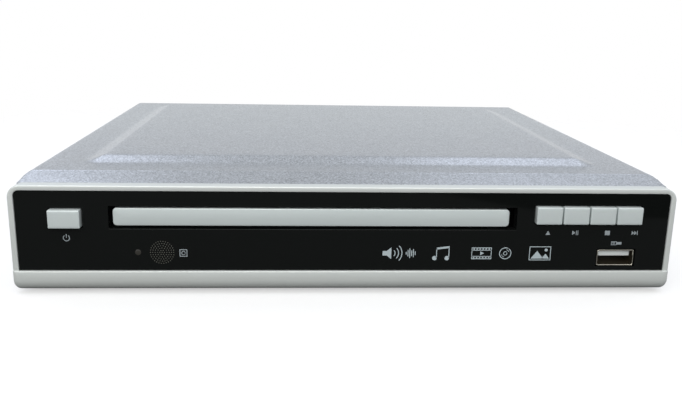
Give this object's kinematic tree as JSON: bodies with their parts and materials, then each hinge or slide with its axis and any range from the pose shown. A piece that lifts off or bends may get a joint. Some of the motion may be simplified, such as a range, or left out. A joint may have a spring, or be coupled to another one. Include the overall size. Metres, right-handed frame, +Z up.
{
  "type": "disc player with tray",
  "caption": "Compact silver disc player: black front window with a motor-driven disc tray, push buttons and a data socket, in a folded steel cover with a raised top.",
  "frame": {"origin": "middle of the footprint, on the surface that the feet stand on", "axes": "+X to the right seen from the front, +Y to the back, +Z up"},
  "size_m": [0.225, 0.2168, 0.0419],
  "materials": {
    "silver_paint": "fine metallic satin",
    "silver_plastic": "painted silver",
    "window_black": "gloss",
    "zinc_sheet": "zinc plated",
    "rubber": "matte",
    "screw_steel": "plated",
    "board_green": "solder resist",
    "dark_plastic": "satin",
    "black_plastic": "fine texture",
    "white_plastic": "natural acetal",
    "grey_plastic": "moulded",
    "bright_metal": "nickel",
    "lamp_lens": "clear tinted",
    "belt_rubber": "matte",
    "aluminium": "natural",
    "lens_glass": "coated",
    "jack_colours": "moulded",
    "copper_winding": "tape",
    "can_sleeve": "shrink sleeve",
    "cable_grey": "flexible"
  },
  "bodies": {
    "player": {"base_screws": "screw_steel", "chassis": "zinc_sheet", "clamp_bridge": "zinc_sheet", "cover_screws": "screw_steel", "front_bezel": "silver_plastic", "front_board": "board_green", "front_ribbon": "cable_grey", "front_window": "window_black", "fuse_clips": "bright_metal", "heat_sink": "aluminium", "inlet_pins": "bright_metal", "inner_screws": "screw_steel", "jack_barrels": "bright_metal", "jack_housing": "black_plastic", "jack_insulators": "jack_colours", "key_switches": "black_plastic", "loader_frame": "black_plastic", "loading_belt": "belt_rubber", "loading_motor": "bright_metal", "main_board": "board_green", "main_capacitors": "can_sleeve", "main_chips": "black_plastic", "mains_fuse": "lens_glass", "mains_inlet": "black_plastic", "mains_leads": "cable_grey", "rear_panel": "zinc_sheet", "remote_sensor": "black_plastic", "rubber_feet": "rubber", "scart_contacts": "black_plastic", "scart_shell": "black_plastic", "socket_screws": "screw_steel", "standoffs": "screw_steel", "status_lamp": "lamp_lens", "supply_board": "board_green", "supply_capacitors": "can_sleeve", "top_cover": "silver_paint", "transformer": "copper_winding", "usb_shell": "bright_metal", "usb_tongue": "white_plastic"},
    "tray": {"tray": "dark_plastic", "tray_door": "silver_plastic"},
    "drive_gear": {"drive_gear": "white_plastic"},
    "pulley_gear": {"pulley_gear": "white_plastic"},
    "motor_pulley": {"motor_pulley": "white_plastic"},
    "clamp": {"clamp_puck": "black_plastic"},
    "cam": {"cam_slider": "white_plastic"},
    "traverse": {"traverse_chassis": "black_plastic", "spindle_motor": "bright_metal", "guide_rods": "bright_metal", "feed_motor": "bright_metal"},
    "turntable": {"turntable": "bright_metal"},
    "sled": {"pickup_body": "grey_plastic"},
    "lens": {"pickup_lens": "lens_glass"},
    "feed_gear": {"feed_gear": "white_plastic"},
    "feed_pinion": {"feed_pinion": "white_plastic"},
    "power_button": {"power_button": "silver_plastic"},
    "eject_button": {"eject_button": "silver_plastic"},
    "play_button": {"play_button": "silver_plastic"},
    "stop_button": {"stop_button": "silver_plastic"},
    "skip_button": {"skip_button": "silver_plastic"}
  },
  "joints": [
    {"name": "tray_slide", "type": "slide", "parent": "player", "child": "tray", "axis": [0, -1, 0], "range_m": [0, 0.13]},
    {"name": "drive_gear_turn", "type": "hinge", "parent": "player", "child": "drive_gear", "pos_m": [-0.0626, -0.07295, 0.02], "axis": [0, 0, 1], "range_deg": [0, 1034.71]},
    {"name": "pulley_gear_turn", "type": "hinge", "parent": "player", "child": "pulley_gear", "pos_m": [-0.04664, -0.07407, 0.016], "axis": [0, 0, 1], "range_deg": [-2414.05, 0]},
    {"name": "motor_pulley_turn", "type": "hinge", "parent": "player", "child": "motor_pulley", "pos_m": [-0.006, -0.07335, 0.013], "axis": [0, 0, 1], "range_deg": [-6262.22, 0]},
    {"name": "clamp_turn", "type": "hinge", "parent": "player", "child": "clamp", "pos_m": [-0.012, -0.03735, 0.033], "axis": [0, 0, 1], "continuous": true},
    {"name": "cam_slide", "type": "slide", "parent": "player", "child": "cam", "axis": [1, 0, 0], "range_m": [0, 0.012]},
    {"name": "traverse_tilt", "type": "hinge", "parent": "player", "child": "traverse", "pos_m": [-0.012, 0.04865, 0.0173], "axis": [1, 0, 0], "range_deg": [0, 3.19]},
    {"name": "turntable_turn", "type": "hinge", "parent": "traverse", "child": "turntable", "pos_m": [-0.012, -0.03735, 0.024], "axis": [0, 0, 1], "continuous": true},
    {"name": "sled_slide", "type": "slide", "parent": "traverse", "child": "sled", "axis": [0, 1, 0], "range_m": [0, 0.035]},
    {"name": "lens_focus", "type": "slide", "parent": "sled", "child": "lens", "axis": [0, 0, 1], "range_m": [0, 0.0006], "stiffness_N_per_m": 40},
    {"name": "feed_gear_turn", "type": "hinge", "parent": "traverse", "child": "feed_gear", "pos_m": [0.0204, 0.00665, 0.02], "axis": [0, 0, 1], "range_deg": [-501.54, 0]},
    {"name": "feed_pinion_turn", "type": "hinge", "parent": "traverse", "child": "feed_pinion", "pos_m": [0.0204, -0.00285, 0.019], "axis": [0, 0, 1], "range_deg": [0, 1403.95]},
    {"name": "power_press", "type": "slide", "parent": "player", "child": "power_button", "axis": [0, 1, 0], "range_m": [0, 0.0006], "stiffness_N_per_m": 1200},
    {"name": "eject_press", "type": "slide", "parent": "player", "child": "eject_button", "axis": [0, 1, 0], "range_m": [0, 0.0006], "stiffness_N_per_m": 1200},
    {"name": "play_press", "type": "slide", "parent": "player", "child": "play_button", "axis": [0, 1, 0], "range_m": [0, 0.0006], "stiffness_N_per_m": 1200},
    {"name": "stop_press", "type": "slide", "parent": "player", "child": "stop_button", "axis": [0, 1, 0], "range_m": [0, 0.0006], "stiffness_N_per_m": 1200},
    {"name": "skip_press", "type": "slide", "parent": "player", "child": "skip_button", "axis": [0, 1, 0], "range_m": [0, 0.0006], "stiffness_N_per_m": 1200}
  ],
  "couplings": [
    {"joint": "drive_gear_turn", "follows": "tray_slide", "rad_per_m": 138.89},
    {"joint": "pulley_gear_turn", "follows": "tray_slide", "rad_per_m": -324.07},
    {"joint": "motor_pulley_turn", "follows": "tray_slide", "rad_per_m": -840.71},
    {"joint": "traverse_tilt", "follows": "cam_slide", "rad_per_m": 4.3464},
    {"joint": "feed_gear_turn", "follows": "sled_slide", "rad_per_m": -250},
    {"joint": "feed_pinion_turn", "follows": "sled_slide", "rad_per_m": 700}
  ]
}
